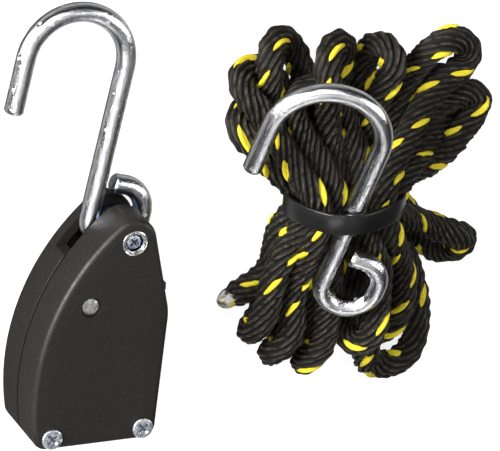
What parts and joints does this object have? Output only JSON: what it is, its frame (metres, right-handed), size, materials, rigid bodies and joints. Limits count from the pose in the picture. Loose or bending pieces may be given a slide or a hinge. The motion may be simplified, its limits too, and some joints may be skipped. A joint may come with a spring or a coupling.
{
  "type": "rope ratchet hanger",
  "caption": "Rope ratchet hanger: a one-way rope wheel in a black moulded housing on a wire hook, with its black and yellow rope tied as a hank that holds a second wire hook.",
  "frame": {"origin": "the rope wheel's axis on the housing's rear face, which rests on the surface", "axes": "+X across the housing, +Y up its height towards the top hook, +Z out of its front face"},
  "size_m": [0.1212, 0.1049, 0.0367],
  "materials": {
    "housing_black": "fine moulded texture",
    "wheel_nylon": "moulded",
    "pawl_nylon": "moulded",
    "bushing_brass": "turned",
    "pin_steel": "dull grey",
    "spring_steel": "drawn wire",
    "zinc_fastener": "bright zinc plate",
    "zinc_wire": "bright zinc plate with small flaws",
    "rope_black": "solid braid with yellow tracer yarns",
    "melted_tip": "clear shrunk film",
    "tie_nylon": "glossy"
  },
  "bodies": {
    "housing": {"rear_shell": "housing_black", "front_shell": "housing_black", "wheel_axle": "pin_steel", "rear_thrust_washer": "pin_steel", "front_thrust_washer": "pin_steel", "pawl_pin": "pin_steel", "pawl_spring": "spring_steel", "hook_post": "zinc_fastener", "post_screw": "zinc_fastener", "lower_screws": "zinc_fastener", "lower_nuts": "zinc_fastener"},
    "wheel": {"rear_wheel_half": "wheel_nylon", "front_wheel_half": "wheel_nylon", "wheel_bushing": "bushing_brass"},
    "pawl": {"pawl": "pawl_nylon"},
    "top_hook": {"top_hook": "zinc_wire"},
    "hank": {"rope_hank": "rope_black", "rope_end_cap": "melted_tip", "rope_tail_cap": "melted_tip", "tie_band": "tie_nylon", "load_hook": "zinc_wire"}
  },
  "joints": [
    {"name": "wheel_spin", "type": "hinge", "parent": "housing", "child": "wheel", "pos_m": [0, 0, 0.0105], "axis": [0, 0, 1], "continuous": true},
    {"name": "pawl_pivot", "type": "hinge", "parent": "housing", "child": "pawl", "pos_m": [-0.00255, 0.0188, 0.0105], "axis": [0, 0, 1], "range_deg": [-13, 0], "stiffness_Nm_per_rad": 0.02, "springref_deg": 17.19, "deforming": ["pawl_spring"]},
    {"name": "hook_swing", "type": "hinge", "parent": "housing", "child": "top_hook", "pos_m": [0.0074, 0.0338, 0.00745], "axis": [0, 0, 1], "range_deg": [-23, 61]},
    {"name": "hank_lift", "type": "slide", "parent": "housing", "child": "hank", "axis": [0, 0, 1], "range_m": [0, 0.06]}
  ]
}
